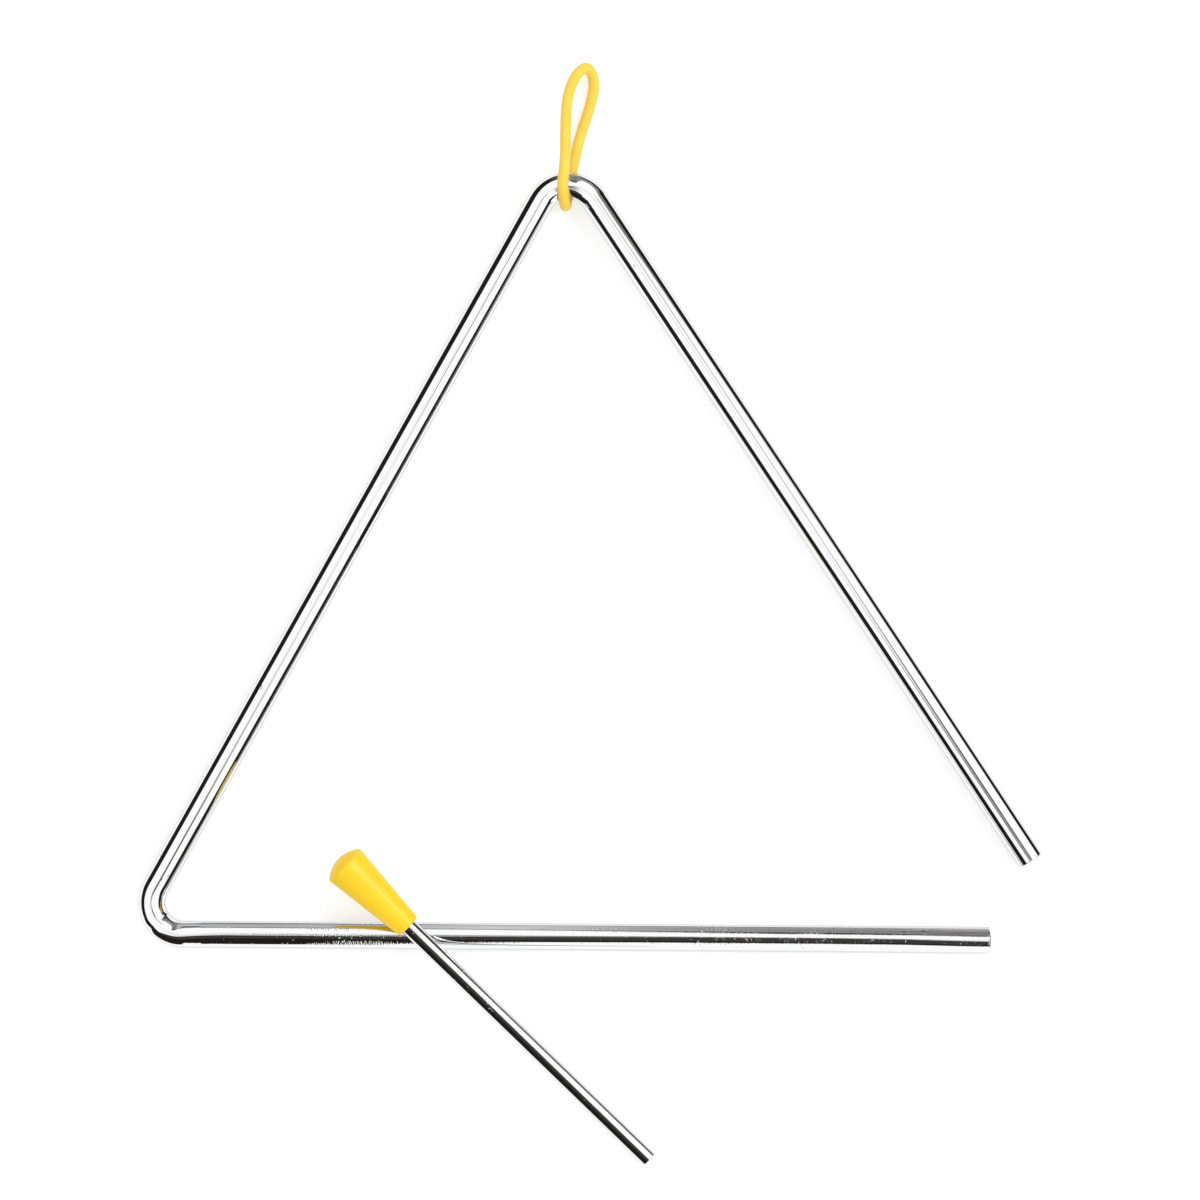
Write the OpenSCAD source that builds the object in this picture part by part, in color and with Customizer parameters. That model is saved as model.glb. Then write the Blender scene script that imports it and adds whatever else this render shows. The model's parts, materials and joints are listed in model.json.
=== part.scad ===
// Triangle instrument: a bent steel rod with a hanging loop, and its beater.
// It lies on a table as it was photographed, with the beater's grip end on the bottom arm.
// Sizes are in millimetres. +X runs along the bottom arm, +Y points from it to the apex, +Z is up.
// The origin is on the table, under the middle of the whole object.

/* [Triangle rod] */
// Diameter of the round steel rod
rod_d = 8; // [5:0.5:12]
// Bottom arm, from the left corner to its free end
bottom_side = 255; // [180:1:320]
// Left arm, from the left corner to the apex corner
left_side = 264; // [190:1:330]
// Right arm, from the apex corner to its free end
right_side = 250; // [180:1:255]
// Angle between the bottom arm and the left arm
left_angle = 61.1; // [58:0.1:64]
// Angle between the left arm and the right arm
apex_angle = 62.8; // [60:0.1:66]
// Inside radius of both bends
bend_inner_r = 5.4; // [4:0.1:12]
// Chamfer round the rod's two cut ends
rod_chamfer = 0.4; // [0.1:0.1:1]

/* [Hanging loop] */
// Diameter of the loop's soft cord
loop_cord_d = 3.2; // [2:0.1:5]
// Distance from the rod's centre to the cord's centre at the loop's far end
loop_reach = 35; // [25:1:60]
// How far the loop's far end leans to the right of the apex
loop_lean = 7.5; // [5:0.1:9]
// Clearance between the loop and the rod that it hangs on
loop_gap = 0.4; // [0.2:0.1:1]

/* [Beater rod] */
// Diameter of the beater's steel rod
beater_d = 5; // [3:0.5:8]
// Bare length, from the striking tip to the handle's mouth
beater_bare = 100.3; // [70:0.1:160]
// Length of the rod's other end inside the handle
beater_grip = 20; // [12:1:24]
// Chamfer round both ends of the beater's rod
beater_chamfer = 0.4; // [0.1:0.1:1]

/* [Beater handle] */
// Length of the handle, with its dome
handle_len = 28.7; // [26:0.1:45]
// Diameter where the dome starts
handle_d = 13.1; // [11:0.1:20]
// Diameter of the narrow end that the rod comes out of
mouth_d = 7.6; // [6.5:0.1:10]
// Height of the dome
dome_h = 2.6; // [2:0.1:5]
// Rounding between the cone and the dome
dome_edge_r = 0.9; // [0.3:0.1:1.2]
// Rounding of the rim round the mouth
mouth_edge_r = 0.4; // [0.2:0.1:0.6]
// How much smaller than the rod's radius the moulded bore is
bore_squeeze = 0.05; // [0:0.01:0.1]
// Space between the rod's inner end and the bottom of the bore
bore_end_gap = 0.5; // [0.2:0.1:2]

/* [Beater on the triangle] */
// Where the beater crosses the bottom arm, from the left corner
cross_at = 86.4; // [60:0.1:150]
// How far the handle's mouth lies beyond the middle of the bottom arm
mouth_past = 5.3; // [3:0.1:12]
// Angle between the beater and the bottom arm, seen from above
beater_angle = 44.1; // [35:0.1:60]
// Clearance under the beater where it lies on the arm
seat_gap = 0.3; // [0.1:0.1:1]

/* [Hidden] */
$fn = 96;

// Rod of the triangle, flat in its own plane with the left corner at the origin
rod_r = rod_d / 2;
bend_r = bend_inner_r + rod_r;
left_bend_run = bend_r / tan(left_angle / 2);
apex_bend_run = bend_r / tan(apex_angle / 2);
right_dir = left_angle + apex_angle - 180;
left_bend_centre = [left_bend_run, bend_r];
apex_corner = left_side * [cos(left_angle), sin(left_angle)];
apex_inward = left_angle + 180 + apex_angle / 2;
apex_bend_centre = apex_corner
    + bend_r / sin(apex_angle / 2) * [cos(apex_inward), sin(apex_inward)];
right_end = apex_corner + right_side * [cos(right_dir), sin(right_dir)];
left_run = left_side - left_bend_run - apex_bend_run;

// Bending draws the rod a little thinner, and a short taper leads each arm into its bend
bend_draw = 0.1;
bend_lap = 0.3;
bend_lap_turn = atan(bend_lap / bend_r);
taper_depth = 2 * bend_draw;
taper_len = 1;

// The loop's cord passes under the rod at the apex, so the apex is lifted off the table by it
loop_r = loop_cord_d / 2;
wrap_r = rod_r + loop_gap + loop_r;
apex_in_plane_y = apex_bend_centre.y + bend_r;
apex_h = loop_cord_d + loop_gap + rod_r;
triangle_tilt = asin((apex_h - rod_r) / apex_in_plane_y);
apex = [apex_bend_centre.x, apex_in_plane_y * cos(triangle_tilt), apex_h];

// Centreline of the loop's two strands: shares of its lean, of its reach and of the height
// of the upper strand, from over the rod, round the far end, to the strand under the rod
strand_shares = [
    [-0.205, 0.00, 1.00],
    [-0.155, 0.13, 0.97],
    [-0.12, 0.26, 0.91],
    [-0.115, 0.38, 0.87],
    [-0.11, 0.51, 0.85],
    [-0.09, 0.63, 0.84],
    [-0.025, 0.74, 0.82],
    [0.125, 0.85, 0.75],
    [0.38, 0.95, 0.57],
    [0.69, 1.00, 0.36],
    [0.915, 0.95, 0.15],
    [0.98, 0.85, 0.03],
    [0.89, 0.74, 0.00],
    [0.735, 0.62, 0.00],
    [0.55, 0.50, 0.00],
    [0.39, 0.38, 0.00],
    [0.25, 0.25, 0.00],
    [0.125, 0.13, 0.00],
    [0.00, 0.00, 0.00],
];
upper_strand_rise = 2 * wrap_r;
under_share = strand_shares[len(strand_shares) - 1][0];
over_share = strand_shares[0][0];
wrap_angles = [240, 210, 180, 150, 120];
loop_sides = 12;
loop_steps = 3;

// Beater, lying along +X from the middle of its tip
beater_r = beater_d / 2;
beater_len = beater_bare + beater_grip;
chamfer_end = [beater_chamfer, beater_chamfer];
mouth_r = mouth_d / 2;
handle_r = handle_d / 2;
bore_r = beater_r - bore_squeeze;
bore_len = beater_grip + bore_end_gap;
cone_len = handle_len - dome_h;
dome_r = (pow(handle_r, 2) + pow(dome_h, 2)) / (2 * dome_h);
arc_steps = 12;
// Overrun of cuts
eps = 0.5;

// The beater rests on its tip and on the bottom arm, by its rod or by the rim of its handle
tip_to_cross = beater_bare - mouth_past;
rim_turns = [0:3:90];
rim_rise = max([
    for (a = rim_turns)
        let (off_arm = mouth_past * sin(beater_angle) - mouth_r * sin(a) * cos(beater_angle))
            sqrt(max(0, pow(rod_r, 2) - pow(off_arm, 2))) + mouth_r * cos(a)
]);
tilt_on_rod = atan((rod_d + seat_gap) / tip_to_cross);
tilt_on_rim = asin((rod_r + rim_rise + seat_gap - beater_r) / beater_bare);
beater_tilt = max(tilt_on_rod, tilt_on_rim);
tip = [
    cross_at + tip_to_cross * cos(beater_angle),
    -tip_to_cross * sin(beater_angle),
    beater_r * cos(beater_tilt) - beater_chamfer * sin(beater_tilt)
];

// Middle of the whole object, seen from above
low_x = left_bend_centre.x - bend_r - rod_r;
high_x = right_end.x - rod_r * sin(right_dir) - rod_chamfer * cos(right_dir);
low_y = tip.y - beater_r * cos(beater_angle) + beater_chamfer * sin(beater_angle);
high_y = apex.y + loop_reach + loop_r;
middle = [(low_x + high_x) / 2, (low_y + high_y) / 2, 0];

// Round bar along +X, turned down at both ends; an end is [depth, length] of its taper
module turned_bar(bar_r, bar_len, near_end, far_end) {
    rotate([0, 90, 0])
        rotate_extrude()
            polygon([
                [0, 0],
                [bar_r - near_end[0], 0],
                [bar_r, near_end[1]],
                [bar_r, bar_len - far_end[1]],
                [bar_r - far_end[0], bar_len],
                [0, bar_len]
            ]);
}

// Straight arm along +X that starts at a bend, with a cut end or a second bend after its run
module arm(run, far_end, far_overrun = 0) {
    translate([-taper_len, 0, 0])
        turned_bar(rod_r, taper_len + run + far_overrun, [taper_depth, taper_len], far_end);
}

// Bent stretch of the rod about the origin, from +X clockwise by span
module bend(span) {
    rotate([0, 0, -span - bend_lap_turn])
        rotate_extrude(angle = span + 2 * bend_lap_turn)
            translate([bend_r, 0])
                circle(r = rod_r - bend_draw);
}

// The rod as it is bent: each arm and bend starts where the one before it ends
module triangle_rod() {
    color("silver")
        translate([0, 0, rod_r] - middle)
            rotate([triangle_tilt, 0, 0])
                translate(left_bend_centre)
                    rotate([0, 0, -90]) {
                        translate([bend_r, 0, 0])
                            rotate([0, 0, 90])
                                arm(bottom_side - left_bend_run, [rod_chamfer, rod_chamfer]);
                        bend(180 - left_angle);
                        rotate([0, 0, left_angle - 180]) {
                            translate([bend_r, 0, 0])
                                rotate([0, 0, -90])
                                    arm(left_run, [taper_depth, taper_len], taper_len);
                            translate([0, -left_run, 0]) {
                                bend(180 - apex_angle);
                                rotate([0, 0, apex_angle - 180])
                                    translate([bend_r, 0, 0])
                                        rotate([0, 0, -90])
                                            arm(right_side - apex_bend_run, [rod_chamfer, rod_chamfer]);
                            }
                        }
                    }
}

// Smooth curve through four points, from the second of them to the third
function curve_point(a, b, c, d, t) =
    (2 * b + (c - a) * t + (2 * a - 5 * b + 4 * c - d) * pow(t, 2)
    + (3 * b - a - 3 * c + d) * pow(t, 3)) / 2;

function strand_knot(share) =
    [share[0] * loop_lean, share[1] * loop_reach, loop_r - apex_h + share[2] * upper_strand_rise];

// No point of the centreline lies lower than the cord does on the table
function laid(point) = [point.x, point.y, max(point.z, loop_r - apex_h)];

function wrap_knot(angle) =
    let (passed = (270 - angle) / 180, share = under_share + passed * (over_share - under_share))
        [share * loop_lean, wrap_r * cos(angle), wrap_r * sin(angle)];

loop_knots = concat(
    [for (share = strand_shares) strand_knot(share)],
    [for (angle = wrap_angles) wrap_knot(angle)]
);
loop_line = [
    for (i = [0:len(loop_knots) - 1], k = [0:loop_steps - 1])
        let (n = len(loop_knots))
            laid(curve_point(
                loop_knots[(i + n - 1) % n],
                loop_knots[i],
                loop_knots[(i + 1) % n],
                loop_knots[(i + 2) % n],
                k / loop_steps
            ))
];

// One ring of points round the cord; the side direction turns from +X at the rod to 45 degrees
// at the far end, so that the rings never twist or flip on their way round
function cord_ring(i) =
    let (
        n = len(loop_line),
        here = loop_line[i],
        along = loop_line[(i + 1) % n] - loop_line[(i + n - 1) % n],
        side = [1, 0, max(0, here.y) / loop_reach],
        out = cross(side, along),
        out_unit = out / norm(out),
        side_square = cross(along, out),
        side_unit = side_square / norm(side_square)
    )
        [
            for (j = [0:loop_sides - 1])
                let (turn = 360 * j / loop_sides)
                    here + loop_r * (cos(turn) * out_unit + sin(turn) * side_unit)
        ];

module hanging_loop() {
    rings = len(loop_line);
    points = [for (i = [0:rings - 1]) each cord_ring(i)];
    faces = [
        for (i = [0:rings - 1], j = [0:loop_sides - 1])
            let (
                near = i * loop_sides,
                far = ((i + 1) % rings) * loop_sides,
                next = (j + 1) % loop_sides
            )
                each [
                    [near + j, near + next, far + j],
                    [near + next, far + next, far + j]
                ]
    ];
    color("gold")
        translate(apex - middle)
            polyhedron(points = points, faces = faces, convexity = 6);
}

// Puts a shape that lies along +X from the beater's tip where the beater lies
module lay_beater() {
    translate(tip - middle)
        rotate([0, -beater_tilt, 180 - beater_angle])
            children();
}

module beater_rod() {
    color("silver")
        lay_beater()
            turned_bar(beater_r, beater_len, chamfer_end, chamfer_end);
}

// Points on an arc about a centre, between two angles
function arc_points(centre, arc_r, from, to) =
    [for (i = [0:arc_steps]) let (a = from + (to - from) * i / arc_steps)
        centre + arc_r * [cos(a), sin(a)]];

// Half outline of the handle: distance from its axis, then distance from its mouth. Both
// edges are rounded with arcs that touch their neighbours, and the crown is an arc of dome_r
cone_lean = atan((handle_r - mouth_r) / cone_len);
mouth_edge_x = mouth_r - mouth_edge_r * (1 / cos(cone_lean) - tan(cone_lean));
crown_base = cone_len + dome_h - dome_r;
edge_reach = dome_r - dome_edge_r;
edge_line_x = handle_r - dome_edge_r / cos(cone_lean) + (crown_base - cone_len) * tan(cone_lean);
edge_along = -edge_line_x * sin(cone_lean)
    + sqrt(pow(edge_reach, 2) - pow(edge_line_x * cos(cone_lean), 2));
edge_centre = [
    edge_line_x + edge_along * sin(cone_lean),
    crown_base + edge_along * cos(cone_lean)
];
crown_angle = atan2(edge_centre.y - crown_base, edge_centre.x);
handle_outline = concat(
    [[0, 0]],
    arc_points([mouth_edge_x, mouth_edge_r], mouth_edge_r, -90, -cone_lean),
    arc_points(edge_centre, dome_edge_r, -cone_lean, crown_angle),
    arc_points([0, crown_base], dome_r, crown_angle, 90)
);

module beater_handle() {
    color("#ffd62c")
        lay_beater()
            translate([beater_bare, 0, 0])
                rotate([0, 90, 0])
                    difference() {
                        rotate_extrude()
                            polygon(handle_outline);
                        translate([0, 0, -eps])
                            cylinder(r = bore_r, h = bore_len + eps);
                    }
}

triangle_rod();
hanging_loop();
beater_rod();
beater_handle();
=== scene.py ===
"""Looks of a chromed triangle with its rubber hanging ring and its beater, lying on a white table.

Lengths are in metres, angles in degrees. +X runs along the bottom arm, +Y to the apex, +Z up.
"""

import json
import logging
import math
from collections.abc import Callable
from dataclasses import dataclass
from enum import Enum

import bpy
from mathutils import Matrix, Vector


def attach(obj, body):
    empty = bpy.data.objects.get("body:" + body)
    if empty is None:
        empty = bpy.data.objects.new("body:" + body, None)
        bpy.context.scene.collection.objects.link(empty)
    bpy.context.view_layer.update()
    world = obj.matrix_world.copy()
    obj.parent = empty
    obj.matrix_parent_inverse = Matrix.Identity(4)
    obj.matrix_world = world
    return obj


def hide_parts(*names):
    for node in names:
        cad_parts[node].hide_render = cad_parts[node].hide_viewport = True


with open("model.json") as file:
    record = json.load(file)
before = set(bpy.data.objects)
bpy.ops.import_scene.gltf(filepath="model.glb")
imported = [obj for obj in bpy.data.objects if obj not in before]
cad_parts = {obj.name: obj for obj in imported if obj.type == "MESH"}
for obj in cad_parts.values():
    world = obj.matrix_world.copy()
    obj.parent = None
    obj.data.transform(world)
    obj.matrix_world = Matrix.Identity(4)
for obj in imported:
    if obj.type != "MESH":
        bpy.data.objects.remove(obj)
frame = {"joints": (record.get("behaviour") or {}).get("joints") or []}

LOG = logging.getLogger("triangle")

Pair = tuple[float, float]
Triple = tuple[float, float, float]
Colour = tuple[float, float, float, float]
# A stretch of a bar or a stop of a band: its place, and the three values there.
Stop = tuple[float, float, float, float]
Outline = list[Pair]
Piece = bpy.types.Object
Socket = bpy.types.NodeSocket
# What a node's socket is fed with.
Value = Socket | float | Triple | Colour

# The sky's angles in degrees: once round, and from the zenith straight down.
ROUND = 360
DOWN = 180
# The mesh attribute with each point's place on the straight bar.
STRAIGHT = "straight_bar"
# How much of a bar the stretches below cover. Beyond it the last stretch goes on.
MARKED_LENGTH = 0.52
# A level stretch in a colour ramp, which holds no value below 0.
LEVEL = 0.5
# Chrome says what the columns are. The triangle's rod starts at the bottom arm's free end, and
# the beater's rod at its tip.
TRIANGLE_STRETCHES = (
    (0.0, 1.5, 0.0, 0.3),
    (0.0076, 2.5, 0.0, 0.3),
    (0.0255, 7.6, 0.0, 0.4),
    (0.050, 9.5, 0.0, 0.9),
    (0.092, 10.5, 0.0, 1.1),
    (0.105, 10.5, 0.0, 0.4),
    (0.148, 9.2, 0.0, 0.25),
    (0.174, 8.2, 0.0, 0.4),
    (0.180, 8.0, 0.0, 1.2),
    (0.200, 8.0, 0.0, 1.2),
    (0.206, 8.0, 0.0, 0.4),
    (0.228, 8.0, 0.0, 0.25),
    (0.234, 5.5, 0.0, 0.1),
    (0.239, 1.0, 0.0, 0.0),
    (0.243, -3.5, 0.0, 0.0),
    (0.2475, -5.0, 0.0, 0.0),
    (0.2525, -3.0, 0.0, 0.0),
    (0.2586, 0.0, 0.0, 0.0),
    (0.494, 0.0, 0.0, 0.0),
    (0.499, 0.0, 12.0, 0.0),
    (0.507, 0.0, 12.0, 0.0),
    (0.5125, 0.0, 0.0, 0.0),
)
BEATER_STRETCHES = (
    (0.0, 5.0, -3.0, 0.2),
    (0.05, 5.5, -3.0, 0.3),
    (0.065, 5.5, -3.0, 0.8),
    (0.075, 5.5, -3.0, 0.8),
    (0.088, 5.2, -2.0, 0.4),
    (0.12, 5.0, 1.0, 0.3),
)


class Body(Enum):
    """The bodies that the pieces ride on."""

    TRIANGLE = "triangle"
    LOOP = "loop"
    BEATER = "beater"


class Slot(Enum):
    """The record's material slots."""

    CHROME = "chrome"
    LOOP_RUBBER = "loop_rubber"
    GRIP = "grip"


def sin(angle: float) -> float:
    """Sine of an angle in degrees."""
    return math.sin(math.radians(angle))


def cos(angle: float) -> float:
    """Cosine of an angle in degrees."""
    return math.cos(math.radians(angle))


def tan(angle: float) -> float:
    """Tangent of an angle in degrees."""
    return math.tan(math.radians(angle))


class Bench:
    """The modelling moves that the pieces share."""

    # A chamfer is this many times as wide as its own softened edges.
    CHAMFER_TO_EDGE = 5
    EDGE_SEGMENTS = 3
    # Points of a turned piece that lie nearer than this share of its length are merged.
    MERGE_SHARE = 1e-5

    @staticmethod
    def clear() -> None:
        """Leave edit mode and deselect every object."""
        if bpy.context.object and bpy.context.object.mode != "OBJECT":
            bpy.ops.object.mode_set(mode="OBJECT")
        bpy.ops.object.select_all(action="DESELECT")

    @staticmethod
    def take(piece: Piece) -> None:
        """Make a piece the only one that is selected, and the active one.

        Args:
            piece: The object to work on.
        """
        Bench.clear()
        piece.select_set(True)
        bpy.context.view_layer.objects.active = piece

    @staticmethod
    def pull(step: Vector) -> None:
        """Extrude what is selected by a step."""
        bpy.ops.mesh.extrude_region_move(TRANSFORM_OT_translate={"value": step})

    @staticmethod
    def pull_bar(way: Vector, length: float, steps: int, hold: float) -> None:
        """Pull the selected ring straight on, with a ring near each end that holds the shading.

        Args:
            way: The bar's direction.
            length: The bar's length.
            steps: How many stretches lie between those two rings.
            hold: How near to the ends they are.
        """
        middle = (length - 2 * hold) / steps
        for step in (hold, *[middle] * steps, hold):
            Bench.pull(way * step)

    @staticmethod
    def select_where(piece: Piece, chosen: Callable[[Vector], bool]) -> None:
        """Select the vertices that a test picks, with the edges and faces between them.

        Args:
            piece: The object in edit mode.
            chosen: A function that takes a vertex place and returns True for the ones to pick.
        """
        bpy.ops.mesh.select_mode(type="VERT")
        bpy.ops.mesh.select_all(action="DESELECT")
        bpy.ops.object.mode_set(mode="OBJECT")
        for vertex in piece.data.vertices:
            vertex.select = chosen(vertex.co)
        bpy.ops.object.mode_set(mode="EDIT")

    @staticmethod
    def close() -> None:
        """Turn every face outwards and leave edit mode."""
        bpy.ops.mesh.select_all(action="SELECT")
        bpy.ops.mesh.normals_make_consistent(inside=False)
        bpy.ops.object.mode_set(mode="OBJECT")

    @staticmethod
    def chamfer(width: float) -> None:
        """Chamfer the selected rim of a bar's end, and soften the chamfer's own two edges.

        Args:
            width: The chamfer's width along the bar and across it.
        """
        bpy.ops.mesh.select_mode(type="EDGE")
        bpy.ops.mesh.bevel(offset=width, segments=1)
        bpy.ops.mesh.region_to_loop()
        bpy.ops.mesh.bevel(offset=width / Bench.CHAMFER_TO_EDGE, segments=Bench.EDGE_SEGMENTS)
        bpy.ops.mesh.select_mode(type="VERT")

    @staticmethod
    def turn(name: str, outline: Outline, steps: int) -> Piece:
        """Turn a piece on +X from half of its outline, as on a lathe.

        Args:
            name: The piece's name.
            outline: Places along the axis and distances from it, from end to end.
            steps: How many faces go round.

        Returns:
            The closed piece, lying along +X from the origin.
        """
        length = outline[-1][0]
        Bench.clear()
        bpy.ops.mesh.primitive_plane_add(size=length, location=(0, 0, 0))
        piece = bpy.context.object
        piece.name = name
        bpy.ops.object.mode_set(mode="EDIT")
        bpy.ops.mesh.select_all(action="SELECT")
        bpy.ops.mesh.merge(type="CENTER")
        here = Vector((outline[0][0], 0, outline[0][1]))
        bpy.ops.transform.translate(value=here)
        for along, out in outline[1:]:
            there = Vector((along, 0, out))
            Bench.pull(there - here)
            here = there
        bpy.ops.mesh.select_all(action="SELECT")
        bpy.ops.mesh.spin(steps=steps, angle=math.tau, center=(0, 0, 0), axis=(1, 0, 0))
        bpy.ops.mesh.select_all(action="SELECT")
        bpy.ops.mesh.remove_doubles(threshold=length * Bench.MERGE_SHARE)
        Bench.close()
        return piece

    @staticmethod
    def mark(piece: Piece, unbend: Callable[[Vector], Vector]) -> None:
        """Keep each point's place on the straight bar that the piece was made from.

        Args:
            piece: The modelled object, before it is laid in its place.
            unbend: A function from a point's place to its place on the straight bar.
        """
        layer = piece.data.attributes.new(STRAIGHT, "FLOAT_VECTOR", "POINT")
        for vertex, value in zip(piece.data.vertices, layer.data):
            value.vector = unbend(vertex.co)

    @staticmethod
    def settle(piece: Piece, place: Matrix, sharp_angle: float) -> None:
        """Lay a piece in its place, keep the place in its mesh and smooth its shading.

        Args:
            piece: The modelled object.
            place: Where it lies in the frame.
            sharp_angle: Edges sharper than this stay crisp.
        """
        Bench.take(piece)
        piece.matrix_world = place
        bpy.ops.object.transform_apply(location=True, rotation=True, scale=True)
        bpy.ops.object.shade_smooth_by_angle(angle=math.radians(sharp_angle))
        bpy.ops.object.select_all(action="DESELECT")


class Nodes:
    """A shorthand for a material's or the world's node tree."""

    def __init__(self, tree: bpy.types.NodeTree) -> None:
        """Empty a tree and hold it."""
        self.tree = tree
        tree.nodes.clear()

    def add(self, kind: str, **values: Value | str) -> bpy.types.Node:
        """Add a node and set its properties and its sockets.

        Args:
            kind: The node's type name, without ShaderNode.
            values: Properties by name, or sockets by name with spaces as underscores. A socket
                takes a value or another node's socket.

        Returns:
            The node.
        """
        node = self.tree.nodes.new("ShaderNode" + kind)
        later = {}
        for key, value in values.items():
            if hasattr(node, key) and not isinstance(value, Socket):
                setattr(node, key, value)
            else:
                later[key.replace("_", " ")] = value
        for key, value in later.items():
            self.feed(node.inputs[key], value)
        return node

    def feed(self, socket: Socket, value: Value) -> None:
        """Link another node's socket to this one, or set its value.

        Args:
            socket: The socket to feed.
            value: The other socket, or the value.
        """
        if isinstance(value, Socket):
            self.tree.links.new(value, socket)
        else:
            socket.default_value = value

    def math(self, operation: str, *values: Value) -> Socket:
        """A Math node on up to three values or sockets.

        Args:
            operation: The node's operation.
            values: Its inputs in order.

        Returns:
            The node's output.
        """
        node = self.add("Math", operation=operation)
        for socket, value in zip(node.inputs, values):
            self.feed(socket, value)
        return node.outputs[0]

    def ramp(
        self, value: Socket, low: float, high: float, to_low: float = 0.0, to_high: float = 1.0
    ) -> Socket:
        """A smooth step of a value, from one range to another.

        Args:
            value: The socket that is read.
            low: Where the step starts.
            high: Where it ends.
            to_low: The result before the step.
            to_high: The result after it.

        Returns:
            The node's output.
        """
        node = self.add("MapRange", interpolation_type="SMOOTHSTEP")
        limits = (("From Min", low), ("From Max", high), ("To Min", to_low), ("To Max", to_high))
        for key, limit in (*limits, ("Value", value)):
            self.feed(node.inputs[key], limit)
        return node.outputs["Result"]

    def noise(
        self, place: Socket, scale: float, detail: float = 2.0, roughness: float = 0.5
    ) -> Socket:
        """A noise texture's value, which lies round a half.

        Args:
            place: The coordinates that it reads.
            scale: Features in a metre.
            detail: How many finer layers it adds.
            roughness: How strong the finer layers are.

        Returns:
            The node's factor output.
        """
        node = self.add("TexNoise", noise_dimensions="3D", Vector=place)
        for key, number in (("Scale", scale), ("Detail", detail), ("Roughness", roughness)):
            self.feed(node.inputs[key], number)
        return node.outputs[0]

    def table(self, value: Socket, stops: list[tuple[float, Triple]]) -> list[Socket]:
        """Look three values up in a table, straight from stop to stop.

        Args:
            value: Where to look, from 0 to 1.
            stops: Places in rising order, each with the three values there.

        Returns:
            Three sockets with the values.
        """
        made = self.add("ValToRGB")
        self.feed(made.inputs[0], value)
        # A new ramp has two elements already.
        elements = made.color_ramp.elements
        for i, (at, values) in enumerate(stops):
            element = elements[i] if i < 2 else elements.new(at)
            element.position = at
            element.color = (*values, 1)
        split = self.add("SeparateColor")
        self.feed(split.inputs[0], made.outputs[0])
        return list(split.outputs)

    def blend(self, share: Value, first: Value, second: Value) -> Socket:
        """A colour between two others.

        Args:
            share: 0 gives the first and 1 gives the second.
            first: A colour or a socket.
            second: A colour or a socket.

        Returns:
            The node's output.
        """
        # The sockets for colours come after those for numbers and vectors, under the same names.
        node = self.add("Mix", data_type="RGBA")
        for i, value in ((0, share), (6, first), (7, second)):
            self.feed(node.inputs[i], value)
        return node.outputs[2]

    def place(self) -> Socket:
        """Object coordinates."""
        return self.add("TexCoord").outputs["Object"]

    def bar(self, axes: Triple = (1, 1, 1)) -> Socket:
        """Places on the straight bar, with X along it, each axis scaled."""
        straight = self.add("Attribute", attribute_name=STRAIGHT).outputs["Vector"]
        return self.add("Mapping", Vector=straight, Scale=axes).outputs[0]

    def seen(self) -> Socket:
        """1 for the camera's own rays, straight or through a clear piece."""
        path = self.add("LightPath").outputs
        return self.math("MAXIMUM", path["Is Camera Ray"], path["Is Transmission Ray"])

    def finish(self, shader: bpy.types.Node) -> None:
        """Send a shader to the material's surface."""
        self.feed(self.add("OutputMaterial").inputs["Surface"], shader.outputs[0])


def grey(level: float) -> Colour:
    """A neutral colour of a linear level."""
    return (level, level, level, 1.0)


class SkyPlace:
    """Where on the sky a ray goes: its direction, its azimuth and its angle from the zenith.

    The azimuth is a share of a full turn and the angle a share of half a turn.
    """

    def __init__(self, nodes: Nodes) -> None:
        """Build the sockets.

        Args:
            nodes: The world's nodes.
        """
        ray = nodes.add("TexCoord").outputs["Generated"]
        self.x, self.y, self.z = nodes.add("SeparateXYZ", Vector=ray).outputs
        turn = nodes.math("DIVIDE", nodes.math("ARCTAN2", self.y, self.x), math.tau)
        self.azimuth = nodes.math("FRACT", nodes.math("ADD", turn, 1.0))
        self.zenith = nodes.math("DIVIDE", nodes.math("ARCCOSINE", self.z), math.pi)


@dataclass(frozen=True)
class Pattern:
    """A noise pattern on the straight bar, plain or with spots stepped out of it.

    The axes scale the bar before the noise is read, so a small one draws the features out, and
    the scale is in features a metre. The step is where in the noise a spot starts and where it
    is full. Off the spots the value is the floor.
    """

    axes: Triple
    scale: float
    detail: float
    step: Pair | None = None
    floor: float = 0.0

    def value(self, nodes: Nodes) -> Socket:
        """Build the pattern.

        Args:
            nodes: The material's nodes.

        Returns:
            A socket with its value, which is 1 on a full spot.
        """
        noise = nodes.noise(nodes.bar(self.axes), self.scale, self.detail)
        if self.step is None:
            return noise
        return nodes.ramp(noise, *self.step, self.floor)


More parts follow.
